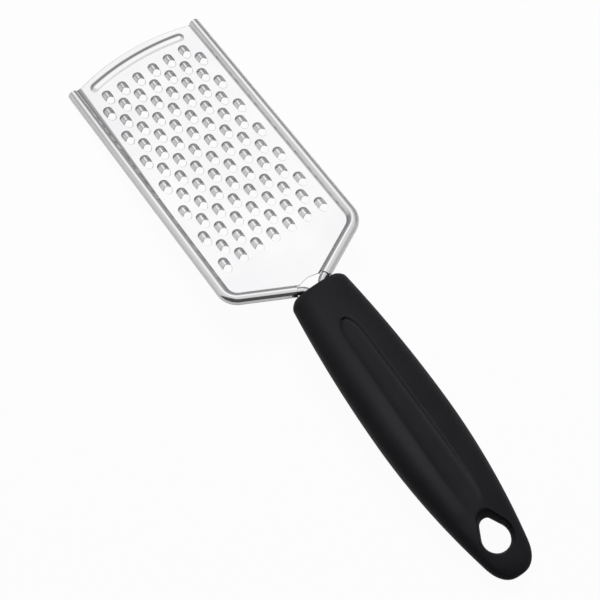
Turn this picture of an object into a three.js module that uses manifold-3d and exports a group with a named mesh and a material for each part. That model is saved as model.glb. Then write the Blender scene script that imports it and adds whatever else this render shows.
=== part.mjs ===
// A hand-held flat grater: a punched steel plate hemmed round two bent steel wires, whose tails run
// into a handle made of a stiff core under a soft grip with a hanging hole.
// Millimetres, +Z up. The grater lies on a flat surface with its teeth up and its tip towards +Y.
import * as THREE from "three";
import { mergeGeometries, mergeVertices } from "three/addons/utils/BufferGeometryUtils.js";
import Module from "manifold-3d";

const wasm = await Module();
wasm.setup();

// Frame wires
const WIRE_DIAMETER = 3;
const WIRE_CLEARANCE = 0.2; // all round, between a wire and the hem or bore that holds it
const RAIL_SPACING = 55.8; // between the axes of the two side runs
const TAIL_SPACING = 4.8; // between the axes of the two tails in the handle
const HEAD_LENGTH = 126.2; // from the neck to the wire ends at the tip
const SHOULDER_ANGLE = THREE.MathUtils.degToRad(28.5); // slope of a shoulder against the across direction
const RAIL_BEND = 7; // radii of the bends, on the wire's axis
const NECK_BEND = 4.5;
const HOOK_BEND = 3;
const TAIL_LENGTH = 58; // from the neck into the handle
const TAIL_HOOK = 4.5; // the outward hook that locks a tail in the core
const WIRE_SIDES = 12;
const BEND_STEPS = 6;

// Plate
const SHEET = 0.45;
const HEM_PROUD = 1.85; // how far the rolled hem stands above the flat of the plate
const HEM_SETBACK = 0.3; // the wire's end shows this much past the hem at the tip
const HEM_END = 3.2; // the hem stops this far outside a tail's axis, measured across
const HEM_GAP = THREE.MathUtils.degToRad(26); // between the flat of the plate and the curl's free edge under it
const HEM_STEPS = 12;
const TIP_CORNER = 0.4; // the plate's corners stop this far short of the wire ends
const TIP_BULGE = 4.4; // rise of the curved tip edge
const NOTCH_WIDTH = 9.2; // the arc cut at the neck
const NOTCH_DEPTH = 1.15;
const OUTLINE_STEPS = 12;

// Stiffening bead near the tip
const BEAD_MARGIN = 2.4; // from the tip edge to the bead, at the middle
const BEAD_LENGTH = 43;
const BEAD_WIDTH = 5.4;
const BEAD_CURVE = 84; // radius of the arc that the bead's middle follows
const BEAD_HEIGHT = 0.5;
const BEAD_SLOPE = 1.4; // width of the bead's sloping border

// Teeth: staggered rows of scoops, each a half dome with a hole on its handle side
const TOOTH_ROWS = 14;
const TEETH_IN_WIDE_ROW = 7; // every other row has one fewer
const PITCH_ACROSS = 7.02;
const PITCH_ALONG = 6.89;
const FIRST_ROW = 15.1; // from the tip edge's middle to the first row's cutting edges
const TOOTH_WIDTH = 3.6;
const TOOTH_HEIGHT = 1.35;
const TOOTH_WALL = 0.28;
const DOME_LENGTH = 4.35;
const DOME_ROUND = 1; // length of the dome's round end
const DOME_ROUND_SHARE = 0.9; // share of the full section where the round end starts, and at its end
const DOME_END_SHARE = 0.45;
const HOLE_LENGTH = 2.5;
const HOLE_STRAIGHT = 0.5; // the hole's sides run straight next to the cutting edge
const DOME_SIDES = 4;
const HOLLOW_SIDES = 3;
const HOLE_SIDES = 4;

// Handle, measured from the middle of its mouth
const CRANK = THREE.MathUtils.degToRad(12); // the handle slopes down from the plane of the wires
const MOUTH_GAP = 1; // from the neck to the mouth
const HANDLE_LENGTH = 122.3;
const BELLY_AT = 59;
const MOUTH_WIDTH = 22.2;
const BELLY_WIDTH = 29.7;
const TAIL_WIDTH = 18.2;
const MOUTH_THICKNESS = 15;
const BELLY_THICKNESS = 18.5;
const TAIL_THICKNESS = 9.5;
const MOUTH_ROUND = 2.6; // length of the rounded mouth edge
const MOUTH_FACE = 0.84; // share of the section that is flat at the mouth
const TAIL_ROUND = 9.1; // length of the rounded end
const TAIL_POWER = 2.75; // the end is blunter than a half ellipse
const SECTION_POWER = 2.4; // a section between an ellipse and a rounded rectangle
const HANDLE_SIDES = 24;
const MOUTH_RINGS = 4;
const BODY_RINGS = 11;
const TAIL_RINGS = 6;
const TAIL_LAST = 0.96; // share of the rounded end at its last ring

// Core inside the grip
const GRIP_WALL = 4;
const CORE_CLEARANCE = 0.3;
const CORE_SETBACK = 0.8; // the core's face lies behind the mouth
const CORE_LENGTH = 89;
const CORE_SIDES = 16;
const CORE_RINGS = 8;

// Hanging hole, a teardrop that narrows towards the plate and flares from its throat to both faces
const HANG_THROAT = { wideRadius: 5.15, narrowRadius: 3, spread: 4.7, fromEnd: 14.7 };
const HANG_RIM = { wideRadius: 6.5, narrowRadius: 3.6, spread: 6.6, fromEnd: 15.1 };
const HANG_THROAT_HEIGHT = 1.8; // above the middle of the handle
const HANG_RIM_HEIGHT = 5.5; // of the rims, above and below the middle
const HANG_SIDES = 32;

// Thumb flute along the top of the grip
const FLUTE_START = 16;
const FLUTE_LENGTH = 86;
const FLUTE_START_WIDTH = 7.6;
const FLUTE_END_WIDTH = 10.4;
const FLUTE_DEPTH = 1;
const FLUTE_SIDES = 12;
const FLUTE_RINGS = 13;
const FLUTE_POINT = 0.2; // share of the width at the very start
const FLUTE_FADE = 10; // power of the fade: shallow only near the end

// Values that follow from the dimensions
const OVERCUT = 1; // cutters run this far past what they cut
const wireRadius = WIRE_DIAMETER / 2;
const railX = RAIL_SPACING / 2;
const tailX = TAIL_SPACING / 2;
const shoulderRise = Math.tan(SHOULDER_ANGLE);
const railCornerY = (railX - tailX) * shoulderRise;
const hemInner = wireRadius + WIRE_CLEARANCE;
const hemOuter = hemInner + SHEET;
const plateTop = hemOuter - HEM_PROUD; // above the plane of the wires
const plateBottom = plateTop - SHEET;
const tipCornerY = HEAD_LENGTH - TIP_CORNER;
const tipY = tipCornerY + TIP_BULGE;
const beadOuterY = tipY - BEAD_MARGIN;
const tailRoundAt = HANDLE_LENGTH - TAIL_ROUND;

// The flat of the plate ends inside the thickness of the hem, this far from the wire's axis
const JOIN_SHARE = 0.3;
const joinInner = Math.sqrt(Math.max(hemInner ** 2 - plateBottom ** 2, 0));
const joinOuter = Math.sqrt(Math.max(hemOuter ** 2 - plateTop ** 2, 0));
const hemJoin = joinInner + JOIN_SHARE * (joinOuter - joinInner);

const steel = new THREE.MeshStandardMaterial({ color: 0xe4e4e6, metalness: 1, roughness: 0.18 });
const wireSteel = new THREE.MeshStandardMaterial({ color: 0xd2d2d4, metalness: 1, roughness: 0.22 });
const corePlastic = new THREE.MeshStandardMaterial({ color: 0x2c2c2e, metalness: 0, roughness: 0.5 });
const gripRubber = new THREE.MeshStandardMaterial({ color: 0x1d1d20, metalness: 0, roughness: 0.65 });

// Solids and meshes

function merged(geometry) {
  const bare = geometry.clone();
  bare.deleteAttribute("normal");
  bare.deleteAttribute("uv");
  return mergeVertices(bare, 1e-4);
}

function solidOf(geometry) {
  const whole = merged(geometry);
  return new wasm.Manifold(
    new wasm.Mesh({
      numProp: 3,
      vertProperties: new Float32Array(whole.attributes.position.array),
      triVerts: new Uint32Array(whole.index.array),
    }),
  );
}

function geometryOf(solid) {
  const { vertProperties, triVerts } = solid.getMesh();
  const geometry = new THREE.BufferGeometry();
  geometry.setAttribute("position", new THREE.BufferAttribute(vertProperties, 3));
  geometry.setIndex(new THREE.BufferAttribute(triVerts, 1));
  geometry.computeVertexNormals();
  return geometry;
}

function named(name, geometry, material) {
  const mesh = new THREE.Mesh(geometry, material);
  mesh.name = name;
  return mesh;
}

function mirrored(geometry) {
  const other = merged(geometry).scale(-1, 1, 1);
  const corners = other.index.array;
  for (let i = 0; i < corners.length; i += 3) {
    [corners[i], corners[i + 1]] = [corners[i + 1], corners[i]];
  }
  return other;
}

// A box given by its lowest and highest corners.
function block(low, high) {
  const size = new THREE.Vector3().subVectors(high, low);
  const centre = new THREE.Vector3().addVectors(low, high).multiplyScalar(0.5);
  return new THREE.BoxGeometry(size.x, size.y, size.z).translate(centre.x, centre.y, centre.z);
}

function slab(outline, bottom, top, curveSegments) {
  const options = { depth: top - bottom, bevelEnabled: false, curveSegments };
  return new THREE.ExtrudeGeometry(outline, options).translate(0, 0, bottom);
}

// A skin over rings of points, closed by a fan at both ends.
function loft(rings) {
  const sides = rings[0].length;
  const points = rings.flat();
  const faces = [];
  for (let ring = 0; ring + 1 < rings.length; ring++) {
    for (let side = 0; side < sides; side++) {
      const next = (side + 1) % sides;
      const [a, b] = [ring * sides + side, ring * sides + next];
      faces.push(a, b, b + sides, a, b + sides, a + sides);
    }
  }
  const middle = (ring) => ring.reduce((sum, p) => sum.add(p), new THREE.Vector3()).divideScalar(sides);
  const first = points.push(middle(rings[0])) - 1;
  const last = points.push(middle(rings.at(-1))) - 1;
  const lastRing = (rings.length - 1) * sides;
  for (let side = 0; side < sides; side++) {
    const next = (side + 1) % sides;
    faces.push(first, next, side, last, lastRing + side, lastRing + next);
  }
  const geometry = new THREE.BufferGeometry().setFromPoints(points);
  geometry.setIndex(faces);
  return geometry;
}

// Bent wire

// Straight runs with a round bend at each inner corner. Its stations stand only where the shape turns,
// and a place along it is counted in stations, not in length.
class BentPath extends THREE.Curve {
  constructor(corners, radii) {
    super();
    const direction = (i) => new THREE.Vector3().subVectors(corners[i + 1], corners[i]).normalize();
    const last = corners.length - 1;
    this.stations = [{ point: corners[0], tangent: direction(0) }];
    for (let i = 1; i < last; i++) {
      this.addBend(corners[i], direction(i - 1), direction(i), radii[i - 1]);
    }
    this.stations.push({ point: corners[last], tangent: direction(last - 1) });
  }

  addBend(corner, into, out, radius) {
    const turn = into.angleTo(out);
    const start = corner.clone().addScaledVector(into, -radius * Math.tan(turn / 2));
    const inward = out.clone().addScaledVector(into, -into.dot(out)).normalize();
    for (let step = 0; step <= BEND_STEPS; step++) {
      const angle = (turn * step) / BEND_STEPS;
      const point = start.clone().addScaledVector(into, radius * Math.sin(angle));
      point.addScaledVector(inward, radius * (1 - Math.cos(angle)));
      const tangent = into.clone().multiplyScalar(Math.cos(angle));
      tangent.addScaledVector(inward, Math.sin(angle));
      this.stations.push({ point, tangent });
    }
  }

  get steps() {
    return this.stations.length - 1;
  }

  station(place) {
    return this.stations[Math.round(place * this.steps)];
  }

  getPoint(place, target = new THREE.Vector3()) {
    return target.copy(this.station(place).point);
  }

  getPointAt(place, target) {
    return this.getPoint(place, target);
  }

  getTangent(place, target = new THREE.Vector3()) {
    return target.copy(this.station(place).tangent);
  }

  getTangentAt(place, target) {
    return this.getTangent(place, target);
  }

  sweep(section) {
    const options = { steps: this.steps, extrudePath: this };
    return new THREE.ExtrudeGeometry(new THREE.Shape(section), options);
  }
}

function roundSection(radius) {
  return Array.from({ length: WIRE_SIDES }, (_, i) => {
    const angle = (2 * Math.PI * i) / WIRE_SIDES;
    return new THREE.Vector2(radius * Math.cos(angle), radius * Math.sin(angle));
  });
}

// The right-hand wire: down the side of the plate, in along the shoulder, then into the handle.
function wirePath() {
  const tail = new THREE.Vector3(0, -Math.cos(CRANK), -Math.sin(CRANK)).multiplyScalar(TAIL_LENGTH);
  const neck = new THREE.Vector3(tailX, 0, 0);
  const tailEnd = neck.clone().add(tail);
  const corners = [
    new THREE.Vector3(railX, HEAD_LENGTH, 0),
    new THREE.Vector3(railX, railCornerY, 0),
    neck,
    tailEnd,
    tailEnd.clone().add(new THREE.Vector3(TAIL_HOOK, 0, 0)),
  ];
  return new BentPath(corners, [RAIL_BEND, NECK_BEND, HOOK_BEND]);
}

// Plate

// Height above the neck of the line that follows a shoulder's axis, a distance nearer the tip.
function shoulderY(x, inset) {
  return (x - tailX) * shoulderRise + inset / Math.cos(SHOULDER_ANGLE);
}

// Centre height and radius of the arc that rises by `rise` over the chord at height y.
function arcOver(chord, rise, y) {
  const radius = (chord ** 2 / 4 + rise ** 2) / (2 * rise);
  return { radius, centreY: y + rise - radius, endAngle: Math.acos(chord / 2 / radius) };
}

function plateOutline() {
  const sideX = railX - hemJoin;
  const turn = Math.PI / 2 - SHOULDER_ANGLE;
  const bendX = railX - RAIL_BEND;
  const bendY = railCornerY + RAIL_BEND * Math.tan(turn / 2);
  const bendRadius = RAIL_BEND - hemJoin;
  const notchY = shoulderY(NOTCH_WIDTH / 2, hemJoin);
  const notch = arcOver(NOTCH_WIDTH, NOTCH_DEPTH, notchY);
  const tip = arcOver(2 * sideX, TIP_BULGE, tipCornerY);
  const outline = new THREE.Shape();
  outline.moveTo(sideX, tipCornerY);
  outline.absarc(bendX, bendY, bendRadius, 0, -turn, true);
  outline.absarc(0, notch.centreY, notch.radius, notch.endAngle, Math.PI - notch.endAngle, false);
  outline.absarc(-bendX, bendY, bendRadius, Math.PI + turn, Math.PI, true);
  outline.lineTo(-sideX, tipCornerY);
  outline.absarc(0, tip.centreY, tip.radius, Math.PI - tip.endAngle, tip.endAngle, true);
  return outline;
}

// The hem's section is an open curl of sheet round the wire. It starts inside the flat of the plate and
// runs over the top, round the outside and under. In a sweep, the first axis of a section points down
// and the second points away from the plate.
function hemSection() {
  const middle = hemInner + SHEET / 2;
  const from = Math.PI - Math.asin((plateTop + plateBottom) / 2 / middle);
  const to = HEM_GAP - Math.PI + Math.asin(-plateBottom / middle);
  const curl = (radius) =>
    Array.from({ length: HEM_STEPS + 1 }, (_, i) => {
      const angle = from + ((to - from) * i) / HEM_STEPS;
      return new THREE.Vector2(-radius * Math.sin(angle), radius * Math.cos(angle));
    });
  return [...curl(hemOuter), ...curl(hemInner).reverse()];
}

function hemGeometry() {
  const endX = tailX + HEM_END;
  const corners = [
    new THREE.Vector3(railX, HEAD_LENGTH - HEM_SETBACK, 0),
    new THREE.Vector3(railX, railCornerY, 0),
    new THREE.Vector3(endX, shoulderY(endX, 0), 0),
  ];
  return new BentPath(corners, [RAIL_BEND]).sweep(hemSection());
}

// A band of even width that follows an arc across the plate, with round ends.
function beadOutline() {
  const halfWidth = BEAD_WIDTH / 2;
  const centreY = beadOuterY - halfWidth - BEAD_CURVE;
  const endX = BEAD_LENGTH / 2 - halfWidth;
  const start = Math.acos(endX / BEAD_CURVE);
  const endY = centreY + BEAD_CURVE * Math.sin(start);
  const outline = new THREE.Shape();
  outline.absarc(endX, endY, halfWidth, start, start - Math.PI, true);
  outline.absarc(0, centreY, BEAD_CURVE - halfWidth, start, Math.PI - start, false);
  outline.absarc(-endX, endY, halfWidth, -start, -start - Math.PI, true);
  outline.absarc(0, centreY, BEAD_CURVE + halfWidth, Math.PI - start, start, true);
  return outline;
}

// The bead as a sloping plateau whose rim, drawn in by `inset`, lies at height `foot`.
function beadPlateau(inset, foot) {
  const options = {
    depth: OVERCUT,
    bevelThickness: BEAD_HEIGHT,
    bevelSize: BEAD_SLOPE,
    bevelOffset: -BEAD_SLOPE - inset,
    bevelSegments: 1,
    curveSegments: OUTLINE_STEPS / 2,
  };
  const plateau = new THREE.ExtrudeGeometry(beadOutline(), options);
  return plateau.translate(0, 0, foot - OVERCUT);
}

// Everything between two heights over the whole plate.
function layer(low, high) {
  const reach = RAIL_SPACING + HEAD_LENGTH;
  return solidOf(block(new THREE.Vector3(-reach, -reach, low), new THREE.Vector3(reach, reach, high)));
}

// Half a dome, open towards the handle. Each station along it has a share of the full width and height.
function scoop({ halfWidth, height, foot, sides, stations }) {
  const rings = stations.map(({ y, share }) => {
    const arch = Array.from({ length: sides + 1 }, (_, i) => {
      const angle = (Math.PI * i) / sides;
      return new THREE.Vector3(share * halfWidth * Math.cos(angle), y, share * height * Math.sin(angle));
    });
    const footing = [-1, 1].map((side) => new THREE.Vector3(side * share * halfWidth, y, foot));
    return [...arch, ...footing];
  });
  return solidOf(loft(rings));
}

// One tooth at the origin, with the plate's top face at height 0: the metal it adds, and what it cuts.
function toothBump() {
  const halfWidth = TOOTH_WIDTH / 2;
  return scoop({
    halfWidth,
    height: TOOTH_HEIGHT,
    foot: -SHEET / 2,
    sides: DOME_SIDES,
    stations: [
      { y: DOME_LENGTH, share: DOME_END_SHARE },
      { y: DOME_LENGTH - DOME_ROUND, share: DOME_ROUND_SHARE },
      { y: 0, share: 1 },
    ],
  });
}

function toothCut() {
  const halfWidth = TOOTH_WIDTH / 2 - TOOTH_WALL;
  const below = -SHEET - OVERCUT;
  const hollow = scoop({
    halfWidth,
    height: TOOTH_HEIGHT - TOOTH_WALL,
    foot: below,
    sides: HOLLOW_SIDES,
    stations: [
      { y: DOME_LENGTH - TOOTH_WALL, share: DOME_END_SHARE },
      { y: -HOLE_STRAIGHT / 2, share: 1 },
    ],
  });
  const hole = [new THREE.Vector2(-halfWidth, 0)];
  for (let i = 0; i <= HOLE_SIDES; i++) {
    const angle = (Math.PI * i) / HOLE_SIDES;
    const reach = HOLE_STRAIGHT + (HOLE_LENGTH - HOLE_STRAIGHT) * Math.sin(angle);
    hole.push(new THREE.Vector2(-halfWidth * Math.cos(angle), -reach));
  }
  hole.push(new THREE.Vector2(halfWidth, 0));
  return hollow.add(solidOf(slab(new THREE.Shape(hole), below, OVERCUT)));
}

function toothPlaces() {
  const places = [];
  for (let row = 0; row < TOOTH_ROWS; row++) {
    const count = TEETH_IN_WIDE_ROW - 1 + (row % 2);
    for (let tooth = 0; tooth < count; tooth++) {
      const x = (tooth - (count - 1) / 2) * PITCH_ACROSS;
      places.push(new THREE.Vector3(x, tipY - FIRST_ROW - row * PITCH_ALONG, plateTop));
    }
  }
  return places;
}

function copiesAt(places, geometry) {
  return mergeGeometries(places.map((p) => geometry.clone().translate(p.x, p.y, p.z)));
}

function plateGeometry() {
  const hem = hemGeometry();
  const beadTop = plateTop + BEAD_HEIGHT;
  const bead = solidOf(beadPlateau(0, plateTop)).intersect(layer(plateTop - SHEET / 2, beadTop));
  const beadHollow = solidOf(beadPlateau(SHEET, plateBottom));
  const places = toothPlaces();
  const bumps = copiesAt(places, geometryOf(toothBump()));
  const cuts = copiesAt(places, geometryOf(toothCut()));
  const plate = solidOf(slab(plateOutline(), plateBottom, plateTop, OUTLINE_STEPS))
    .add(solidOf(hem))
    .add(solidOf(mirrored(hem)))
    .add(bead)
    .subtract(beadHollow)
    .add(solidOf(bumps))
    .subtract(solidOf(cuts));
  return geometryOf(plate);
}

// Handle. In its own frame it runs along -Y from its mouth, `along` counts from there.

// A size that swells from the mouth to the belly and falls away to the tail.
function swell(along, mouth, belly, tail) {
  const share =
    along < BELLY_AT ? (BELLY_AT - along) / BELLY_AT : (along - BELLY_AT) / (tailRoundAt - BELLY_AT);
  return belly - (belly - (along < BELLY_AT ? mouth : tail)) * share ** 2;
}

// How far a section is drawn in by the rounded mouth edge and the rounded end.
function rounding(along) {
  const intoMouth = Math.max(1 - along / MOUTH_ROUND, 0);
  const intoTail = Math.max((along - tailRoundAt) / TAIL_ROUND, 0);
  const mouth = Math.sqrt(1 - (1 - MOUTH_FACE ** 2) * intoMouth ** 2);
  return mouth * (1 - Math.min(intoTail, 1) ** TAIL_POWER) ** (1 / TAIL_POWER);
}

const halfWidthAt = (along) => swell(along, MOUTH_WIDTH, BELLY_WIDTH, TAIL_WIDTH) / 2;
const halfHeightAt = (along) => swell(along, MOUTH_THICKNESS, BELLY_THICKNESS, TAIL_THICKNESS) / 2;

function section(along, halfWidth, halfHeight, sides, lift = 0) {
  const bulge = (value) => Math.sign(value) * Math.abs(value) ** (2 / SECTION_POWER);
  return Array.from({ length: sides }, (_, i) => {
    const angle = (2 * Math.PI * i) / sides;
    const x = halfWidth * bulge(Math.cos(angle));
    return new THREE.Vector3(x, -along, lift + halfHeight * bulge(Math.sin(angle)));
  });
}

function evenly(from, to, count) {
  return Array.from({ length: count }, (_, i) => from + ((to - from) * i) / (count - 1));
}

function gripBody() {
  const mouth = evenly(0, 1, MOUTH_RINGS).map((share) => MOUTH_ROUND * share ** 2);
  const body = evenly(MOUTH_ROUND, tailRoundAt, BODY_RINGS).slice(1);
  const tail = evenly(0, TAIL_LAST, TAIL_RINGS).map(
    (share) => tailRoundAt + TAIL_ROUND * Math.sin((share * Math.PI) / 2),
  );
  const rings = [...mouth, ...body, ...tail.slice(1)].map((along) => {
    const drawn = rounding(along);
    return section(along, halfWidthAt(along) * drawn, halfHeightAt(along) * drawn, HANDLE_SIDES);
  });
  return loft(rings);
}

// The core, or the room for it when it is given clearance and a longer run out of the mouth.
function coreBody(clearance, front) {
  const back = CORE_SETBACK + CORE_LENGTH + clearance;
  const rings = evenly(front, back, CORE_RINGS).map((along) => {
    const inset = GRIP_WALL - clearance;
    const swollen = Math.max(along, 0);
    return section(along, halfWidthAt(swollen) - inset, halfHeightAt(swollen) - inset, CORE_SIDES);
  });
  return loft(rings);
}

// A teardrop at one height, as points that run round it in step with those of any other teardrop.
function teardrop({ wideRadius, narrowRadius, spread, fromEnd }, height) {
  const lean = Math.asin((wideRadius - narrowRadius) / spread);
  const wideY = fromEnd - HANDLE_LENGTH;
  const arc = (radius, y, from, to) =>
    evenly(from, to, HANG_SIDES / 2).map(
      (angle) => new THREE.Vector3(radius * Math.cos(angle), y + radius * Math.sin(angle), height),
    );
  return [
    ...arc(narrowRadius, wideY + spread, lean, Math.PI - lean),
    ...arc(wideRadius, wideY, Math.PI - lean, 2 * Math.PI + lean),
  ];
}

function hangHole() {
  return loft([
    teardrop(HANG_RIM, -BELLY_THICKNESS),
    teardrop(HANG_RIM, -HANG_RIM_HEIGHT),
    teardrop(HANG_THROAT, HANG_THROAT_HEIGHT),
    teardrop(HANG_RIM, HANG_RIM_HEIGHT),
    teardrop(HANG_RIM, BELLY_THICKNESS),
  ]);
}

// A long scoop along the top that starts round and fades out at the rim of the hanging hole.
function flute() {
  const rings = evenly(0, 1, FLUTE_RINGS).map((share) => {
    const along = FLUTE_START + FLUTE_LENGTH * share;
    const width = FLUTE_START_WIDTH + (FLUTE_END_WIDTH - FLUTE_START_WIDTH) * share;
    const start = Math.sqrt(1 - (1 - Math.min((along - FLUTE_START) / FLUTE_START_WIDTH, 1)) ** 2);
    const halfWidth = (width / 2) * Math.max(start, FLUTE_POINT);
    const fade = FLUTE_DEPTH * (2 * share ** FLUTE_FADE - 1);
    return section(along, halfWidth, FLUTE_DEPTH, FLUTE_SIDES, halfHeightAt(along) + FLUTE_DEPTH + fade);
  });
  return loft(rings);
}

// Resting place: the tilt at which the hem at the tip and the underside of the handle lie level.

function tipHeight(tilt) {
  return -(HEAD_LENGTH - HEM_SETBACK) * Math.sin(tilt) - hemOuter * Math.cos(tilt);
}

function handleHeight(slope) {
  const heights = evenly(0, tailRoundAt, 60).map(
    (along) => -(along + MOUTH_GAP) * Math.sin(slope) - halfHeightAt(along) * Math.cos(slope),
  );
  return Math.min(...heights);
}

function restingTilt() {
  let [low, high] = [0, CRANK];
  for (let halving = 0; halving < 40; halving++) {
    const tilt = (low + high) / 2;
    if (tipHeight(tilt) > handleHeight(CRANK - tilt)) low = tilt;
    else high = tilt;
  }
  return low;
}

// Assembly

const wire = wirePath();
const wireGeometry = wire.sweep(roundSection(wireRadius));
const head = new THREE.Group();
head.add(
  named("grater_plate", plateGeometry(), steel),
  named("frame_wire_right", merged(wireGeometry), wireSteel),
  named("frame_wire_left", mirrored(wireGeometry), wireSteel),
);

// The handle's frame turns about the neck and starts at the mouth.
const handle = new THREE.Group();
const mouthShift = new THREE.Matrix4().makeTranslation(0, -MOUTH_GAP, 0);
const handlePlace = new THREE.Matrix4().makeRotationX(CRANK).multiply(mouthShift);
handlePlace.decompose(handle.position, handle.quaternion, handle.scale);

const bore = wire.sweep(roundSection(hemInner)).applyMatrix4(handlePlace.clone().invert());
const core = solidOf(coreBody(0, CORE_SETBACK)).subtract(solidOf(bore)).subtract(solidOf(mirrored(bore)));
const grip = solidOf(gripBody())
  .subtract(solidOf(coreBody(CORE_CLEARANCE, -OVERCUT)))
  .subtract(solidOf(hangHole()))
  .subtract(solidOf(flute()));
handle.add(
  named("handle_core", geometryOf(core), corePlastic),
  named("handle_grip", geometryOf(grip), gripRubber),
);

const grater = new THREE.Group();
const lying = new THREE.Group();
lying.add(head, handle);
lying.rotation.x = -restingTilt();
grater.add(lying);

// The origin is the middle of the footprint, on the surface the grater lies on.
const bounds = new THREE.Box3().setFromObject(grater, true);
lying.position.set(
  -(bounds.min.x + bounds.max.x) / 2,
  -(bounds.min.y + bounds.max.y) / 2,
  -bounds.min.z,
);

export default grater;
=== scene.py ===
"""A flat hand-held grater: a pressed steel plate on a bent wire frame, with a black rubber grip."""
import math

import bmesh
import bpy
import numpy as np
from mathutils import Matrix, Vector
from mathutils.geometry import delaunay_2d_cdt


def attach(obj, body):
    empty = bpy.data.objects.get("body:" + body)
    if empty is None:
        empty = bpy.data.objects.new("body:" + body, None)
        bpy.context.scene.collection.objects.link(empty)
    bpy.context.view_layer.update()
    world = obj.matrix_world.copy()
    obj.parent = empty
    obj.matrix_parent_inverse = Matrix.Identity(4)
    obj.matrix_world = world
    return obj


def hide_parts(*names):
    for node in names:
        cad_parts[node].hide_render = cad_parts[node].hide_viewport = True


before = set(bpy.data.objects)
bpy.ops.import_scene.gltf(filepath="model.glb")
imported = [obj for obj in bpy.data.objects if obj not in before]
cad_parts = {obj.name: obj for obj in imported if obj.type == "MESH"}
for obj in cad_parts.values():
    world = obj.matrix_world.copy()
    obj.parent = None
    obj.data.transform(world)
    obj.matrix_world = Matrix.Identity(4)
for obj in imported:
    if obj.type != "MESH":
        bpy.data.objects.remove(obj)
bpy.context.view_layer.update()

MM = 0.001
UP = Vector((0, 0, 1))
TINY = 1e-6
WELD_WITHIN = 0.002
SLIVER_WITHIN = 0.001

# Resting place of the head and the handle. Lengths are in millimetres and angles in radians.
REST_TILT = 0.113799
REST_Y = -3.3143
REST_Z = 16.4316
CRANK = math.radians(12)
MOUTH_GAP = 1
HEAD = Matrix.Translation((0, REST_Y, REST_Z)) @ Matrix.Rotation(-REST_TILT, 4, "X")
HANDLE = HEAD @ Matrix.Rotation(CRANK, 4, "X") @ Matrix.Translation((0, -MOUTH_GAP, 0))

# Frame wires
WIRE_RADIUS = 1.5
RAIL_X = 27.9
TAIL_X = 2.4
HEAD_LENGTH = 126.2
SHOULDER_ANGLE = math.radians(28.5)
RAIL_BEND = 7
NECK_BEND = 4.5
HOOK_BEND = 3
TAIL_LENGTH = 58
TAIL_HOOK = 4.5
WIRE_ROUND = 0.5
WIRE_ROUND_STEPS = 4
WIRE_SIDES = 28
BEND_STEPS = 14
RUN_STEP = 6

# Plate
SHEET = 0.45
HEM_RADIUS = 2.15
PLATE_TOP = 0.3
HEM_LENGTH = 125.9
HEM_END = 6
HEM_FREE_EDGE = math.radians(-149.5)
HEM_FOOT = 4.8
HEM_FLANGE = 0.1
FILLET = 0.5
SOFT_FILLET = 4.7
SOFT_FILLET_FROM = 62
FILLET_STEPS = 8
FLAT_COLUMNS = FILLET_STEPS + 3
CURL_STEPS = 30
PLATE_HALF_WIDTH = 26.08
TIP_Y = 130.2
TIP_BULGE = 4.4
TIP_FLANGE = 0.15
TIP_ROLL = 0.3
TIP_DROP = 0.022
TIP_ROLL_STEPS = 4
NOTCH_HALF_WIDTH = 4.6
NOTCH_Y = 3.27
NOTCH_DEPTH = 1.15
TIP_STEP = 1.5
NOTCH_STEP = 0.75

# Stiffening bead
BEAD_OUTER_Y = 127.8
BEAD_WIDTH = 5.4
BEAD_LENGTH = 43
BEAD_CURVE = 84
BEAD_HEIGHT = 0.5
BEAD_TIP_SLOPE = 2
BEAD_NECK_SLOPE = 2.8
BEAD_END_SLOPE = 1.7
BEAD_RINGS = 8
BEAD_FLANGE = 0.08
BEAD_ARC_STEPS = 50
BEAD_END_STEPS = 14

# Teeth
TOOTH_ROWS = 14
TEETH_IN_WIDE_ROW = 7
PITCH_ACROSS = 7.02
PITCH_ALONG = 6.89
FIRST_ROW_Y = 115.1
TOOTH_HALF_WIDTH = 1.8
TOOTH_HEIGHT = 1.1
DOME_LENGTH = 4.35
DOME_END_HEIGHT = 0.93
DOME_END_RUN = 1.95
DOME_POWER = 0.6
LIP_LEAN = 0.5
DOME_SHARES = (0, 0.04, 0.1, 0.18, 0.28, 0.4, 0.52, 0.64, 0.76, 0.88, 1)
DOME_SIDE_STEPS = 3
DOME_END_STEPS = 12
TOOTH_FLANGE = 0.2
HOLE_LENGTH = 2.5
HOLE_RING = 0.28
HOLE_DENT = 0.04
HOLE_SHARES = (0, 0.5, 1)
HOLE_CORNER = 0.35
HOLE_STEPS = 14

# Grip, measured from the middle of its mouth
HANDLE_LENGTH = 122.3
BELLY_AT = 59
MOUTH_SIZE = (22.2, 15)
BELLY_SIZE = (29.7, 18.5)
TAIL_SIZE = (18.2, 9.5)
MOUTH_ROUND = 2.6
MOUTH_FACE = 0.84
TAIL_ROUND = 9.1
TAIL_POWER = 2.75
TAIL_ROUND_AT = HANDLE_LENGTH - TAIL_ROUND
SECTION_POWER = 2.4
SECTION_SAMPLES = 1441
GRIP_SIDES = 192
GRIP_STEP = 0.7
MOUTH_STEPS = 8
TAIL_STEPS = 20
GRIP_WALL = 3.7
CAVITY_LENGTH = 90.1
CAVITY_STEP = 6
FLUTE_START = 16
FLUTE_LENGTH = 86
FLUTE_FADE = 10
FLUTE_POWER = 4
FLUTE_REACH = 3
FLUTE_WIDTHS = (7.6, 10.4)
FLUTE_DEPTH = 1
FLUTE_SOFT = 0.12
HANG_THROAT = {"wide": 5.15, "narrow": 3, "spread": 4.7, "from_end": 14.7}
HANG_RIM = {"wide": 6.5, "narrow": 3.6, "spread": 6.6, "from_end": 15.1}
HANG_THROAT_Z = 1.8
HANG_STEPS = 40
FLARE_SHARES = (0, 0.02, 0.06, 0.12, 0.2, 0.3, 0.42, 0.56, 0.7, 0.85, 1, 1.12)
FLARE_POWER = 1.4
PATCH_FROM = 95
PATCH_TO = 117
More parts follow.
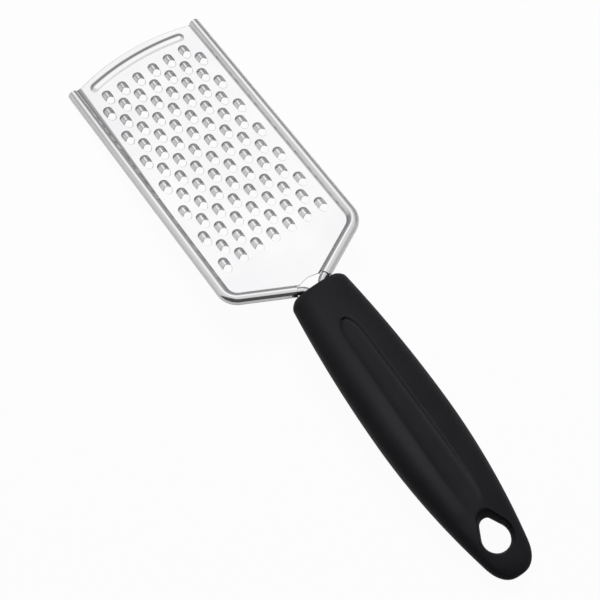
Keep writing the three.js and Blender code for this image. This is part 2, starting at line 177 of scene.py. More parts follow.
PATCH_SHARE = 0.74

# Photograph's view, in the head's frame, with its clipping in metres
CAMERA_AT = Vector((-107.494, -226.603, 472.95))
CAMERA_RIGHT = Vector((0.824667, -0.558251, -0.091000))
CAMERA_DOWN = Vector((-0.533456, -0.714161, -0.453211))
CAMERA_AHEAD = Vector((0.188017, 0.422292, -0.886746))
LENS = 90
SENSOR = 36
CLIP_START = 0.01
CLIP_END = 50


# Shapes

def mixed(a, b, share):
    return a + (b - a) * share


def steps_between(start, end, longest):
    count = max(1, math.ceil(abs(end - start) / longest))
    return [mixed(start, end, i / count) for i in range(count + 1)]


def bent_path(corners, radii):
    """Points and directions along straight runs with a round bend at each inner corner."""
    corners = [Vector(c) for c in corners]
    bends = [[(corners[0], (corners[1] - corners[0]).normalized())]]
    for before, corner, after, radius in zip(corners, corners[1:], corners[2:], radii):
        into = (corner - before).normalized()
        out = (after - corner).normalized()
        turn = into.angle(out)
        inward = (out - into * into.dot(out)).normalized()
        start = corner - into * radius * math.tan(turn / 2)
        bend = []
        for step in range(BEND_STEPS + 1):
            angle = turn * step / BEND_STEPS
            point = start + into * radius * math.sin(angle) + inward * radius * (1 - math.cos(angle))
            bend.append((point, into * math.cos(angle) + inward * math.sin(angle)))
        bends.append(bend)
    bends.append([(corners[-1], (corners[-1] - corners[-2]).normalized())])
    path = list(bends[0])
    for bend in bends[1:]:
        last, ahead = path[-1]
        run = (bend[0][0] - last).length
        path += [(last + ahead * s, ahead) for s in steps_between(0, run, RUN_STEP)[1:-1]]
        path += bend
    return path


class Skin:
    """Points and faces gathered for one mesh."""

    def __init__(self):
        self.points = []
        self.faces = []

    def grid(self, rows, closed=False):
        start = len(self.points)
        width = len(rows[0])
        for row in rows:
            self.points += [tuple(p) for p in row]
        for i in range(len(rows) - 1):
            for j in range(width if closed else width - 1):
                k = (j + 1) % width
                near = start + i * width
                self.faces.append((near + j, near + k, near + width + k, near + width + j))

    def fan(self, ring, middle):
        start = len(self.points)
        self.points += [tuple(p) for p in ring]
        self.points.append(tuple(middle))
        count = len(ring)
        self.faces += [(start + i, start + (i + 1) % count, start + count) for i in range(count)]

    def triangles(self, points, faces):
        start = len(self.points)
        self.points += [tuple(p) for p in points]
        self.faces += [tuple(start + i for i in face) for face in faces]


def filled(loops, height):
    """Triangles between an outer loop and the loops inside it, lifted to a height at each place."""
    places = []
    edges = []
    owner = []
    for number, loop in enumerate(loops):
        start = len(places)
        places += [Vector(p[:2]) for p in loop]
        owner += [number] * len(loop)
        edges += [(start + i, start + (i + 1) % len(loop)) for i in range(len(loop))]
    found, _, faces, sources, *_ = delaunay_2d_cdt(places, edges, [], 1, TINY)
    # A face with all its corners on one of the inner loops lies inside that loop
    owners = [{owner[sources[i][0]] for i in face} for face in faces]
    kept = [face for face, own in zip(faces, owners) if len(own) > 1 or 0 in own]
    return [(p.x, p.y, height(p.x, p.y)) for p in found], kept


def mesh_of(skin, name, place):
    mesh = bpy.data.meshes.new(name)
    mesh.from_pydata([(place @ Vector(p)) * MM for p in skin.points], [], skin.faces)
    shape = bmesh.new()
    shape.from_mesh(mesh)
    bmesh.ops.remove_doubles(shape, verts=shape.verts, dist=WELD_WITHIN * MM)
    bmesh.ops.dissolve_degenerate(shape, edges=shape.edges, dist=SLIVER_WITHIN * MM)
    bmesh.ops.recalc_face_normals(shape, faces=shape.faces)
    shape.to_mesh(mesh)
    shape.free()
    return mesh


def add_piece(name, mesh, material, node, sharp_from):
    mesh.shade_smooth()
    mesh.set_sharp_from_angle(angle=math.radians(sharp_from))
    mesh.materials.clear()
    mesh.materials.append(material)
    piece = bpy.data.objects.new(name, mesh)
    bpy.context.collection.objects.link(piece)
    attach(piece, "root")
    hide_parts(node)
    return piece


# Wires

SHOULDER_RISE = math.tan(SHOULDER_ANGLE)
RAIL_CORNER_Y = (RAIL_X - TAIL_X) * SHOULDER_RISE


def wire_skin(side):
    tail_end = Vector((TAIL_X, -TAIL_LENGTH * math.cos(CRANK), -TAIL_LENGTH * math.sin(CRANK)))
    corners = [
        (RAIL_X, HEAD_LENGTH, 0),
        (RAIL_X, RAIL_CORNER_Y, 0),
        (TAIL_X, 0, 0),
        tail_end,
        tail_end + Vector((TAIL_HOOK, 0, 0)),
    ]
    path = bent_path(corners, [RAIL_BEND, NECK_BEND, HOOK_BEND])
    first, ahead = path[0]
    rounded = []
    for step in range(WIRE_ROUND_STEPS + 1):
        angle = math.pi / 2 * step / WIRE_ROUND_STEPS
        back = WIRE_ROUND * (1 - math.sin(angle))
        radius = WIRE_RADIUS - WIRE_ROUND * (1 - math.cos(angle))
        rounded.append((first + ahead * back, ahead, radius))
    stations = rounded[::-1] + [(point, ahead, WIRE_RADIUS) for point, ahead in path[1:]]
    rings = []
    normal = UP.copy()
    before = stations[0][1]
    for point, ahead, radius in stations:
        normal = before.rotation_difference(ahead) @ normal
        before = ahead
        across = ahead.cross(normal)
        ring = []
        for i in range(WIRE_SIDES):
            angle = 2 * math.pi * i / WIRE_SIDES
            p = point + normal * radius * math.cos(angle) + across * radius * math.sin(angle)
            ring.append((side * p.x, p.y, p.z))
        rings.append(ring)
    skin = Skin()
    skin.grid(rings, closed=True)
    for ring in (rings[0], rings[-1]):
        skin.fan(ring, sum((Vector(p) for p in ring), Vector()) / len(ring))
    return skin


# Plate

TIP_RADIUS = (PLATE_HALF_WIDTH ** 2 + TIP_BULGE ** 2) / (2 * TIP_BULGE)
NOTCH_RADIUS = (NOTCH_HALF_WIDTH ** 2 + NOTCH_DEPTH ** 2) / (2 * NOTCH_DEPTH)
NOTCH_CENTRE = Vector((0, NOTCH_Y + NOTCH_DEPTH - NOTCH_RADIUS, 0))


def tip_edge_y(x):
    return TIP_Y - TIP_RADIUS + math.sqrt(TIP_RADIUS ** 2 - x ** 2)


def rolled_from_y(x):
    return tip_edge_y(x) - TIP_ROLL - TIP_FLANGE


def notch_y(x):
    return NOTCH_CENTRE.y + math.sqrt(NOTCH_RADIUS ** 2 - x ** 2)


def hem_profile(fillet):
    """The hem's section as distances outward from the wire's axis and heights above it."""
    reach = HEM_RADIUS + fillet
    centre_z = PLATE_TOP + fillet
    centre_out = -math.sqrt(reach ** 2 - centre_z ** 2)
    meet = math.atan2(centre_z, centre_out)
    profile = [(-HEM_FOOT, PLATE_TOP), (centre_out - HEM_FLANGE, PLATE_TOP)]
    for step in range(FILLET_STEPS + 1):
        angle = mixed(-math.pi / 2, meet - math.pi, step / FILLET_STEPS)
        profile.append((centre_out + fillet * math.cos(angle), centre_z + fillet * math.sin(angle)))
    for step in range(1, CURL_STEPS + 1):
        angle = mixed(meet, HEM_FREE_EDGE, step / CURL_STEPS)
        profile.append((HEM_RADIUS * math.cos(angle), HEM_RADIUS * math.sin(angle)))
    return profile


def slid_to_notch(point, along):
    """The place where a line from a point meets the arc cut at the neck."""
    offset = point - NOTCH_CENTRE
    half = offset.dot(along)
    return point + along * (-half - math.sqrt(half ** 2 - offset.dot(offset) + NOTCH_RADIUS ** 2))


def hem_rows(side):
    corners = [
        (RAIL_X, HEM_LENGTH, 0),
        (RAIL_X, RAIL_CORNER_Y, 0),
        (HEM_END, (HEM_END - TAIL_X) * SHOULDER_RISE, 0),
    ]
    path = bent_path(corners, [RAIL_BEND])
    rows = []
    for index, (point, ahead) in enumerate(path):
        outward = UP.cross(ahead)
        soft = min(max((point.y - SOFT_FILLET_FROM) / (HEM_LENGTH - SOFT_FILLET_FROM), 0), 1)
        fillet = mixed(FILLET, SOFT_FILLET, soft) if side < 0 else FILLET
        row = []
        for column, (out, height) in enumerate(hem_profile(fillet)):
            place = point + outward * out
            on_flat = column < FLAT_COLUMNS
            if index == 0 and on_flat:
                place.y = rolled_from_y(place.x)
            if index == len(path) - 1 and on_flat:
                place = slid_to_notch(place, ahead)
            row.append((side * place.x, place.y, height))
        rows.append(row)
    return rows


def bead_loop(share):
    """The bead's outline, a band that follows an arc, drawn in by a share of the width of its slopes."""
    half_width = BEAD_WIDTH / 2
    centre_y = BEAD_OUTER_Y - half_width - BEAD_CURVE
    outer = BEAD_CURVE + half_width - share * BEAD_TIP_SLOPE
    inner = BEAD_CURVE - half_width + share * BEAD_NECK_SLOPE
    middle = (outer + inner) / 2
    radius = (outer - inner) / 2
    end_x = BEAD_LENGTH / 2 - share * BEAD_END_SLOPE - radius
    start = math.acos(end_x / middle)
    end_y = centre_y + middle * math.sin(start)
    loop = []

    def arc(x, y, r, first, last, count):
        for i in range(count):
            angle = mixed(first, last, i / count)
            loop.append((x + r * math.cos(angle), y + r * math.sin(angle)))

    arc(0, centre_y, outer, start, math.pi - start, BEAD_ARC_STEPS)
    arc(-end_x, end_y, radius, math.pi - start, 2 * math.pi - start, BEAD_END_STEPS)
    arc(0, centre_y, inner, math.pi - start, start, BEAD_ARC_STEPS)
    arc(end_x, end_y, radius, start - math.pi, start, BEAD_END_STEPS)
    return loop


def dome_line(inset):
    """Half a capsule round a tooth's dome, from its right corner over the tip end to its left corner."""
    radius = TOOTH_HALF_WIDTH - inset
    longer_run = (DOME_END_RUN - TOOTH_HALF_WIDTH) * inset / TOOTH_HALF_WIDTH
    straight = DOME_LENGTH - TOOTH_HALF_WIDTH - longer_run
    side = [straight * i / DOME_SIDE_STEPS for i in range(DOME_SIDE_STEPS)]
    line = [(radius, y) for y in side]
    for i in range(DOME_END_STEPS + 1):
        angle = math.pi * i / DOME_END_STEPS
        line.append((radius * math.cos(angle), straight + radius * math.sin(angle)))
    return line + [(-radius, y) for y in reversed(side)]


def dome_row(share):
    """Line over a tooth's dome, this share of the way from its foot to its crest."""
    rise = (1 - math.cos(math.pi * share ** DOME_POWER)) / 2
    row = []
    for x, y in dome_line(TOOTH_HALF_WIDTH * share):
        towards_lip = 1 - y / DOME_LENGTH
        height = TOOTH_HEIGHT * rise * mixed(DOME_END_HEIGHT, 1, towards_lip)
        row.append((x, y + LIP_LEAN * rise * towards_lip, height))
    return row


def hole_line(outset, drawn_in):
    """Half an oval on the handle side of a tooth, from its left corner round to its right corner."""
    line = []
    for i in range(HOLE_STEPS + 1):
        angle = math.pi * i / HOLE_STEPS
        inset = HOLE_RING * drawn_in * min(1, math.sin(angle) / HOLE_CORNER)
        across = TOOTH_HALF_WIDTH + outset - inset
        along = HOLE_LENGTH + HOLE_RING + outset - inset
        dent = HOLE_DENT * inset / HOLE_RING
        line.append((-across * math.cos(angle), -along * math.sin(angle), -dent))
    return line


def tooth_rows():
    dome = [[(x, y, 0) for x, y in dome_line(-TOOTH_FLANGE)]]
    dome += [dome_row(share) for share in DOME_SHARES]
    hole = [hole_line(TOOTH_FLANGE, 0)] + [hole_line(0, share) for share in HOLE_SHARES]
    return dome, hole


def tooth_places():
    for row in range(TOOTH_ROWS):
        count = TEETH_IN_WIDE_ROW - 1 + row % 2
        for tooth in range(count):
            yield (tooth - (count - 1) / 2) * PITCH_ACROSS, FIRST_ROW_Y - row * PITCH_ALONG


def plate_skin():
    skin = Skin()
    right, left = hem_rows(1), hem_rows(-1)
    skin.grid(right)
    skin.grid(left)
    foot_right = [row[0] for row in right]
    foot_left = [row[0] for row in left]
    neck = steps_between(foot_right[-1][0], foot_left[-1][0], NOTCH_STEP)[1:-1]
    tip = steps_between(foot_left[0][0], foot_right[0][0], TIP_STEP)[1:-1]
    outline = foot_right + [(x, notch_y(x)) for x in neck]
    outline += foot_left[::-1] + [(x, rolled_from_y(x)) for x in tip]
    inner_edge = left[0][FLAT_COLUMNS - 1:0:-1]
    inner_edge += [(p[0], p[1], PLATE_TOP) for p in outline[-len(tip) - 1:]]
    inner_edge += right[0][:FLAT_COLUMNS]
    rolled = [inner_edge]
    for step in range(TIP_ROLL_STEPS + 1):
        share = step / TIP_ROLL_STEPS
        ahead = TIP_FLANGE + TIP_ROLL * share
        rolled.append([(x, y + ahead, z - TIP_DROP * share ** 2) for x, y, z in inner_edge])
    skin.grid(rolled)
    loops = [outline, bead_loop(-BEAD_FLANGE)]
    dome, hole = tooth_rows()
    for x, y in tooth_places():
        at = [[(px + x, py + y, pz + PLATE_TOP) for px, py, pz in row] for row in dome]
        skin.grid(at)
        below = [[(px + x, py + y, pz + PLATE_TOP) for px, py, pz in row] for row in hole]
        skin.grid(below)
        loops.append(at[0] + below[0][1:-1])
    skin.triangles(*filled(loops, lambda x, y: PLATE_TOP))
    rings = []
    climb = [ring / BEAD_RINGS for ring in range(BEAD_RINGS + 1)]
    for share in [-BEAD_FLANGE] + climb + [1 + BEAD_FLANGE]:
        climbed = min(max(share, 0), 1)
        height = PLATE_TOP + BEAD_HEIGHT * (1 - math.cos(math.pi * climbed)) / 2
        rings.append([(x, y, height) for x, y in bead_loop(share)])
    skin.grid(rings, closed=True)
    skin.triangles(*filled([rings[-1]], lambda x, y: PLATE_TOP + BEAD_HEIGHT))
    return skin


def plate_mesh():
    mesh = mesh_of(plate_skin(), "sheet", HEAD)
    if sum(p.normal.z * p.area for p in mesh.polygons) < 0:
        mesh.flip_normals()
    sheet = bpy.data.objects.new("sheet", mesh)
    bpy.context.collection.objects.link(sheet)
    thick = sheet.modifiers.new("thickness", "SOLIDIFY")
    thick.thickness = SHEET * MM
    thick.offset = -1
    thick.use_even_offset = False
    graph = bpy.context.evaluated_depsgraph_get()
    made = bpy.data.meshes.new_from_object(sheet.evaluated_get(graph))
    bpy.data.objects.remove(sheet)
    made.name = "pressed_plate"
    return made


# Grip

def swell(along, axis):
    if along < BELLY_AT:
        return mixed(BELLY_SIZE[axis], MOUTH_SIZE[axis], ((BELLY_AT - along) / BELLY_AT) ** 2) / 2
    share = (along - BELLY_AT) / (TAIL_ROUND_AT - BELLY_AT)
    return mixed(BELLY_SIZE[axis], TAIL_SIZE[axis], share ** 2) / 2


def rounding(along):
    into_mouth = max(1 - along / MOUTH_ROUND, 0)
    into_tail = min(max((along - TAIL_ROUND_AT) / TAIL_ROUND, 0), 1)
    mouth = math.sqrt(1 - (1 - MOUTH_FACE ** 2) * into_mouth ** 2)
    return mouth * (1 - into_tail ** TAIL_POWER) ** (1 / TAIL_POWER)


def half_sizes(along):
    drawn = rounding(along)
    return swell(along, 0) * drawn, swell(along, 1) * drawn


def section(half_width, half_height, sides):
    """A rounded section as points evenly spaced round it, from its right-hand side over the top."""
    angles = np.linspace(0, 2 * np.pi, SECTION_SAMPLES)
    power = 2 / SECTION_POWER
    x = half_width * np.sign(np.cos(angles)) * np.abs(np.cos(angles)) ** power
    z = half_height * np.sign(np.sin(angles)) * np.abs(np.sin(angles)) ** power
    length = np.concatenate(([0], np.cumsum(np.hypot(np.diff(x), np.diff(z)))))
    even = np.linspace(0, length[-1], sides + 1)[:-1]
    return list(zip(np.interp(even, length, x), np.interp(even, length, z)))


def surface_height(x, along):
    half_width, half_height = half_sizes(along)
    share = min(abs(x) / max(half_width, TINY), 1)
    return half_height * (1 - share ** SECTION_POWER) ** (1 / SECTION_POWER)


def flute_height(x, along):
    """Height of the thumb flute's floor, without limit where there is no flute."""
    share = (along - FLUTE_START) / FLUTE_LENGTH
    if share <= 0 or share >= 1:
        return math.inf
    full = mixed(*FLUTE_WIDTHS, share) / 2
    start = min((along - FLUTE_START) / FLUTE_WIDTHS[0], 1)
    half_width = full * math.sqrt(1 - (1 - start) ** 2)
    across = min(abs(x) / max(half_width, TINY), FLUTE_REACH)
    lift = across ** FLUTE_POWER
    floor = swell(along, 1) + FLUTE_DEPTH * (2 * share ** FLUTE_FADE - 1)
    return floor + FLUTE_DEPTH * lift


def softly_lower(a, b, soft):
    """The lower of two heights, with the corner between them rounded."""
    if b == math.inf:
        return a
    share = max(soft - abs(a - b), 0) / soft
    return min(a, b) - share ** 2 * soft / 4


def top_height(x, along):
    return softly_lower(surface_height(x, along), flute_height(x, along), FLUTE_SOFT)


def grip_stations():
    mouth = [MOUTH_ROUND * (i / MOUTH_STEPS) ** 2 for i in range(MOUTH_STEPS + 1)]
    body = steps_between(MOUTH_ROUND, TAIL_ROUND_AT, GRIP_STEP)[1:]
    turns = [math.pi / 2 * i / TAIL_STEPS for i in range(1, TAIL_STEPS)]
    return mouth + body + [TAIL_ROUND_AT + TAIL_ROUND * math.sin(turn) for turn in turns]


def grip_ring(along):
    ring = []
    for x, z in section(*half_sizes(along), GRIP_SIDES):
        if z > 0:
            z = softly_lower(z, flute_height(x, along), FLUTE_SOFT)
        ring.append((x, -along, z))
    return ring


def teardrop(wide, narrow, spread, from_end):
    lean = math.asin((wide - narrow) / spread)
    wide_y = from_end - HANDLE_LENGTH
    drop = []
    for i in range(HANG_STEPS):
        angle = mixed(lean, math.pi - lean, i / (HANG_STEPS - 1))
        drop.append((narrow * math.cos(angle), wide_y + spread + narrow * math.sin(angle)))
    for i in range(HANG_STEPS):
        angle = mixed(math.pi - lean, 2 * math.pi + lean, i / (HANG_STEPS - 1))
        drop.append((wide * math.cos(angle), wide_y + wide * math.sin(angle)))
    return drop


def flare_rings(up):
    """Rings of the hanging hole from its throat out to one face, and just past its rim."""
    rings = []
    for share in FLARE_SHARES:
        ring = []
        for (tx, ty), (rx, ry) in zip(teardrop(**HANG_THROAT), teardrop(**HANG_RIM)):
            x, y = mixed(tx, rx, share), mixed(ty, ry, share)
            face = top_height(x, -y) if up > 0 else -surface_height(x, -y)
            climb = 1 - (1 - min(share, 1)) ** FLARE_POWER
            ring.append((x, y, mixed(HANG_THROAT_Z, face, climb)))
        rings.append(ring)
    return rings


def grip_skin():
    skin = Skin()
    stations = grip_stations()
    rings = [grip_ring(along) for along in stations]
    quarter = GRIP_SIDES // 4
    middle_ring = rings[len(rings) // 2]
    patch_x = PATCH_SHARE * BELLY_SIZE[0] / 2
    reach = max(j for j in range(quarter) if middle_ring[quarter + j][0] > -patch_x)
    inside = [i for i, along in enumerate(stations) if PATCH_FROM <= along <= PATCH_TO]
    first, last = inside[0], inside[-1]
    skin.grid(rings[:first + 1], closed=True)
    skin.grid(rings[last:], closed=True)
    for up, middle in ((1, quarter), (-1, 3 * quarter)):
        low, high = middle - reach, middle + reach
        patch = [rings[i] for i in range(first, last + 1)]
        border = patch[0][low:high + 1] + [row[high] for row in patch[1:-1]]
        border += patch[-1][low:high + 1][::-1] + [row[low] for row in patch[1:-1]][::-1]
        flare = flare_rings(up)
        skin.grid(flare, closed=True)
        face = top_height if up > 0 else lambda x, along: -surface_height(x, along)
        skin.triangles(*filled([border, flare[-1]], lambda x, y: face(x, -y)))
    columns = [(3 * quarter + reach + j) % GRIP_SIDES for j in range(2 * (quarter - reach) + 1)]
    sides = [[ring[column] for column in columns] for ring in rings[first:last + 1]]
    skin.grid(sides)
    skin.grid([[(-x, y, z) for x, y, z in row] for row in sides])
    skin.fan(rings[-1], (0, -HANDLE_LENGTH, 0))
    cavity = []
    for along in steps_between(0, CAVITY_LENGTH, CAVITY_STEP):
        ring = section(swell(along, 0) - GRIP_WALL, swell(along, 1) - GRIP_WALL, GRIP_SIDES)
        cavity.append([(x, -along, z) for x, z in ring])
    skin.grid([rings[0]] + cavity, closed=True)
    skin.fan(cavity[-1], (0, -CAVITY_LENGTH, 0))
    return skin


# Materials, with depths and sizes in metres

EVENLY = (1, 1, 1)
NOISE_FROM = 0.3
NOISE_TO = 0.7
NOISE_DETAIL = 3
GRAIN_STRETCH = (1, 0.04, 1)
GRAIN_SCALE = 2600
GRAIN_DEPTH = 0.00001
GRAIN_STRENGTH = 0.12
STEEL_CLOUD_SCALE = 45
STEEL_CLOUD_DETAIL = 2
STEEL_CLOUD_DEPTH = 0.0004
STEEL_CLOUD_STRENGTH = 0.06
BLACK_CLOUD_SCALE = 70
PORE_DEPTH = 0.00004
PORE_STRENGTH = 0.35
PLATE_SHARP_ANGLE = 38
ROUND_SHARP_ANGLE = 50


def new_material(name):
    material = bpy.data.materials.new(name)
    material.use_nodes = True
    tree = material.node_tree
    return material, tree, tree.nodes["Principled BSDF"]


def add_node(tree, kind, values=None):
    """A new node with values set on its inputs by name."""
    node = tree.nodes.new(kind)
    for name, value in (values or {}).items():
        node.inputs[name].default_value = value
    return node


def noise(tree, scale, detail=NOISE_DETAIL, stretch=EVENLY):
    """Noise over the object's own place, in metres, stretched along the axes."""
    place = add_node(tree, "ShaderNodeTexCoord")
    mapping = add_node(tree, "ShaderNodeMapping", {"Scale": stretch})
    texture = add_node(tree, "ShaderNodeTexNoise", {"Scale": scale, "Detail": detail})
    tree.links.new(place.outputs["Object"], mapping.inputs["Vector"])
    tree.links.new(mapping.outputs["Vector"], texture.inputs["Vector"])
    return texture.outputs["Fac"]


def ranged(tree, source, low, high):
    limits = {"From Min": NOISE_FROM, "From Max": NOISE_TO, "To Min": low, "To Max": high}
    spread = add_node(tree, "ShaderNodeMapRange", limits)
    tree.links.new(source, spread.inputs["Value"])
    return spread.outputs["Result"]


def coloured(tree, source, low, high):
    ramp = add_node(tree, "ShaderNodeValToRGB")
    first, last = ramp.color_ramp.elements
    first.position = NOISE_FROM
    first.color = (*low, 1)
    last.position = NOISE_TO
    last.color = (*high, 1)
    tree.links.new(source, ramp.inputs["Fac"])
    return ramp.outputs["Color"]


def bumped(tree, heights):
    """A chain of bumps, each a height source with its depth and its strength."""
    normal = None
    for source, depth, strength in heights:
        bump = add_node(tree, "ShaderNodeBump", {"Distance": depth, "Strength": strength})
        tree.links.new(source, bump.inputs["Height"])
        if normal:
            tree.links.new(normal, bump.inputs["Normal"])
        normal = bump.outputs["Normal"]
    return normal


def steel_material(name, dark, bright, smooth, rough):
    material, tree, shader = new_material(name)
    grain = noise(tree, GRAIN_SCALE, stretch=GRAIN_STRETCH)
    cloud = noise(tree, STEEL_CLOUD_SCALE, detail=STEEL_CLOUD_DETAIL)
    bumps = [(cloud, STEEL_CLOUD_DEPTH, STEEL_CLOUD_STRENGTH), (grain, GRAIN_DEPTH, GRAIN_STRENGTH)]
    shader.inputs["Metallic"].default_value = 1
    tree.links.new(coloured(tree, cloud, dark, bright), shader.inputs["Base Color"])
    tree.links.new(ranged(tree, grain, smooth, rough), shader.inputs["Roughness"])
    tree.links.new(bumped(tree, bumps), shader.inputs["Normal"])
    return material


def black_material(name, dark, bright, smooth, rough, specular, pore_size):
    material, tree, shader = new_material(name)
    pores = noise(tree, 1 / pore_size)
    cloud = noise(tree, BLACK_CLOUD_SCALE)
    bumps = [(pores, PORE_DEPTH, PORE_STRENGTH)]
    shader.inputs["Specular IOR Level"].default_value = specular
    tree.links.new(coloured(tree, cloud, dark, bright), shader.inputs["Base Color"])
    tree.links.new(ranged(tree, pores, smooth, rough), shader.inputs["Roughness"])
    tree.links.new(bumped(tree, bumps), shader.inputs["Normal"])
    return material


plate_steel = steel_material(
    "plate_steel", dark=(0.64, 0.64, 0.65), bright=(0.68, 0.68, 0.685), smooth=0.13, rough=0.17)
wire_steel = steel_material(
    "wire_steel", dark=(0.58, 0.58, 0.59), bright=(0.63, 0.63, 0.635), smooth=0.14, rough=0.24)
grip_rubber = black_material(
    "grip_rubber", dark=(0.0135, 0.0135, 0.0162), bright=(0.0165, 0.0165, 0.0192),
    smooth=0.42, rough=0.52, specular=0.07, pore_size=0.0004)
core_plastic = black_material(
    "core_plastic", dark=(0.02, 0.02, 0.021), bright=(0.028, 0.028, 0.03),
    smooth=0.3, rough=0.42, specular=0.4, pore_size=0.0008)

add_piece("pressed_plate", plate_mesh(), plate_steel, "grater_plate", PLATE_SHARP_ANGLE)
for side, word in ((1, "right"), (-1, "left")):
    tube = mesh_of(wire_skin(side), "bent_wire_" + word, HEAD)
    add_piece("bent_wire_" + word, tube, wire_steel, "frame_wire_" + word, ROUND_SHARP_ANGLE)
grip_mesh = mesh_of(grip_skin(), "rubber_grip", HANDLE)
grip = add_piece("rubber_grip", grip_mesh, grip_rubber, "handle_grip", ROUND_SHARP_ANGLE)
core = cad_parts["handle_core"]
core.data.materials.clear()
core.data.materials.append(core_plastic)


# Floor, cards, world and lamps, in metres, with bearings in degrees clockwise from the tip

FLOOR_SIZE = 6
FLOOR_GREYS = (0.64, 0.66)
FLOOR_FIBRE_SCALE = 300
FLOOR_ROUGHNESS = 0.9
FLOOR_SPECULAR = 0.1
FLOOR_GLOW = 0.96
FLOOR_MIRRORED = 0.4
CARD_RADIUS = 1.6
CARD_STEP = 4
# Cards that glow and are seen only in mirrors: their glow levels paint the light and shade that the steel
# reflects.
CARDS = (
    {"name": "tip_left_card", "azimuths": (-38, 9), "elevations": (0.2, 42), "glow_levels": (0.26, 0.62)},
    {"name": "tip_card", "azimuths": (9, 42), "elevations": (0.2, 38.5), "glow_levels": (0.26, 0.6)},
    {"name": "right_card", "azimuths": (42, 105), "elevations": (0.2, 44), "glow_levels": (0.2, 0.76)},
    {"name": "far_right_card", "azimuths": (105, 178), "elevations": (0.2, 48), "glow_levels": (0.5, 0.85)},
    {"name": "near_card", "azimuths": (178, 285), "elevations": (0.2, 66), "glow_levels": (0.1, 0.1)},
    {"name": "left_card", "azimuths": (285, 322), "elevations": (0.2, 52), "glow_levels": (0.76, 0.95)},
)
WHITE = (1, 1, 1, 1)
WORLD_SEEN = 1
WORLD_STRAY = 0.1


def staged(name, points, faces, material):
    mesh = bpy.data.meshes.new(name)
    mesh.from_pydata(points, [], faces)
    mesh.materials.append(material)
    thing = bpy.data.objects.new(name, mesh)
    bpy.context.collection.objects.link(thing)
    return thing


def bearing(azimuth, elevation):
    """The direction towards a place on the sky."""
    a, e = math.radians(azimuth), math.radians(elevation)
    return Vector((math.sin(a) * math.cos(e), math.cos(a) * math.cos(e), math.sin(e)))


def computed(tree, operation, *values):
    """The result of a sum on sockets and plain numbers."""
    node = tree.nodes.new("ShaderNodeMath")
    node.operation = operation
    for place, value in zip(node.inputs, values):
        if isinstance(value, bpy.types.NodeSocket):
            tree.links.new(value, place)
        else:
            place.default_value = value
    return node.outputs["Value"]


def seen_rays(tree):
    """Two sockets: one for rays straight from the camera, one for rays from mirrors and through glass."""
    rays = add_node(tree, "ShaderNodeLightPath").outputs
    mirrored = computed(tree, "MAXIMUM", rays["Is Glossy Ray"], rays["Is Transmission Ray"])
    return rays["Is Camera Ray"], mirrored


def floor_material():
    """White paper: it glows for the camera, less so in mirrors, and is lit by the lamps for other rays."""
    material, tree, shader = new_material("floor_paper")
    shader.inputs["Roughness"].default_value = FLOOR_ROUGHNESS
    shader.inputs["Specular IOR Level"].default_value = FLOOR_SPECULAR
    dark, bright = ([grey] * 3 for grey in FLOOR_GREYS)
    fibre = noise(tree, FLOOR_FIBRE_SCALE)
    tree.links.new(coloured(tree, fibre, dark, bright), shader.inputs["Base Color"])
    glow = add_node(tree, "ShaderNodeEmission")
    mix = add_node(tree, "ShaderNodeMixShader")
    straight, mirrored = seen_rays(tree)
    glow_straight = computed(tree, "MULTIPLY", straight, FLOOR_GLOW)
    share = computed(tree, "MULTIPLY_ADD", mirrored, FLOOR_MIRRORED, glow_straight)
    tree.links.new(share, mix.inputs["Fac"])
    tree.links.new(shader.outputs["BSDF"], mix.inputs[1])
    tree.links.new(glow.outputs["Emission"], mix.inputs[2])
    tree.links.new(mix.outputs["Shader"], tree.nodes["Material Output"].inputs["Surface"])
    return material


def add_floor():
    edge = FLOOR_SIZE / 2
    corners = [(-edge, -edge, 0), (edge, -edge, 0), (edge, edge, 0), (-edge, edge, 0)]
    staged("floor", corners, [(0, 1, 2, 3)], floor_material())


def card_material(name, glow_levels):
    """Card that glows, evenly brighter from its foot to its top: painted light and shade that the steel
    mirrors.
    """
    material, tree, _ = new_material(name)
    glow = add_node(tree, "ShaderNodeEmission")
    place = add_node(tree, "ShaderNodeTexCoord")
    heights = add_node(tree, "ShaderNodeSeparateXYZ")
    foot, top = glow_levels
    shade = add_node(tree, "ShaderNodeMapRange", {"To Min": foot, "To Max": top})
    tree.links.new(place.outputs["Generated"], heights.inputs["Vector"])
    tree.links.new(heights.outputs["Z"], shade.inputs["Value"])
    tree.links.new(shade.outputs["Result"], glow.inputs["Strength"])
    tree.links.new(glow.outputs["Emission"], tree.nodes["Material Output"].inputs["Surface"])
    return material


def add_card(name, azimuths, elevations, glow_levels):
    """A curved card round the table that glows and is seen only in mirrors: painted light and shade
    standing in for a studio's cards, for the polished steel to mirror.
    """
    rows = []
    for elevation in steps_between(*elevations, CARD_STEP):
        row = [bearing(azimuth, elevation) * CARD_RADIUS for azimuth in steps_between(*azimuths, CARD_STEP)]
        rows.append(row)
    skin = Skin()
    skin.grid(rows)
    card = staged(name, skin.points, skin.faces, card_material(name, glow_levels))
    card.visible_camera = False
    card.visible_shadow = False
    card.visible_diffuse = False


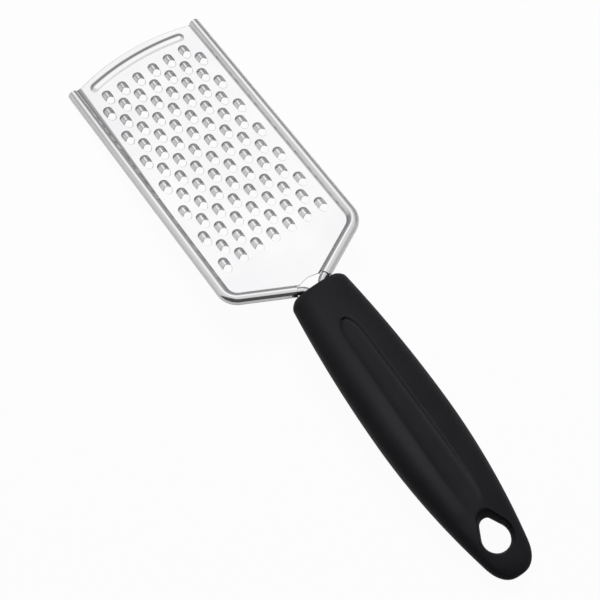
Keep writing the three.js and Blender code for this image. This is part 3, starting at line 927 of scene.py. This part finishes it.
def add_world():
    """White where it is seen straight or in a mirror, and a weak light on everything else."""
    world = bpy.data.worlds.new("studio")
    bpy.context.scene.world = world
    world.use_nodes = True
    tree = world.node_tree
    background = tree.nodes["Background"]
    background.inputs["Color"].default_value = WHITE
    level = add_node(tree, "ShaderNodeMapRange", {"To Min": WORLD_STRAY, "To Max": WORLD_SEEN})
    tree.links.new(computed(tree, "MAXIMUM", *seen_rays(tree)), level.inputs["Value"])
    tree.links.new(level.outputs["Result"], background.inputs["Strength"])


def add_lamp(name, azimuth, elevation, distance, width, height, power):
    """A flat soft light that faces the middle of the part."""
    back = bearing(azimuth, elevation)
    light = bpy.data.lights.new(name, "AREA")
    light.shape = "RECTANGLE"
    light.size = width
    light.size_y = height
    light.energy = power
    lamp = bpy.data.objects.new(name, light)
    lamp.location = back * distance
    lamp.rotation_euler = back.to_track_quat("Z", "Y").to_euler()
    bpy.context.collection.objects.link(lamp)
    return lamp


add_floor()
for card in CARDS:
    add_card(**card)
add_world()
add_lamp("main_softbox", azimuth=18, elevation=47, distance=0.98, width=0.36, height=0.66, power=0.33)
fill = add_lamp("fill_softbox", azimuth=30, elevation=58, distance=1.2, width=0.5, height=0.5, power=12.3)
fill.visible_glossy = False

# The sheen along the handle comes from a lamp that shines on the grip alone
sheen = add_lamp("left_softbox", azimuth=-114, elevation=73, distance=0.9, width=0.2, height=0.2, power=4.4)
sheen.visible_diffuse = False
shone_on = bpy.data.collections.new("shone_on")
shone_on.objects.link(grip)
sheen.light_linking.receiver_collection = shone_on


# Camera at the photograph's angle

turned = HEAD.to_3x3()
axes = Matrix((turned @ CAMERA_RIGHT, turned @ -CAMERA_DOWN, turned @ -CAMERA_AHEAD)).transposed()
camera_data = bpy.data.cameras.new("camera")
camera_data.lens = LENS
camera_data.sensor_width = SENSOR
camera_data.clip_start = CLIP_START
camera_data.clip_end = CLIP_END
camera = bpy.data.objects.new("camera", camera_data)
camera.matrix_world = Matrix.Translation(HEAD @ CAMERA_AT * MM) @ axes.to_4x4()
bpy.context.collection.objects.link(camera)
bpy.context.scene.camera = camera
bpy.context.scene.view_settings.view_transform = "Standard"
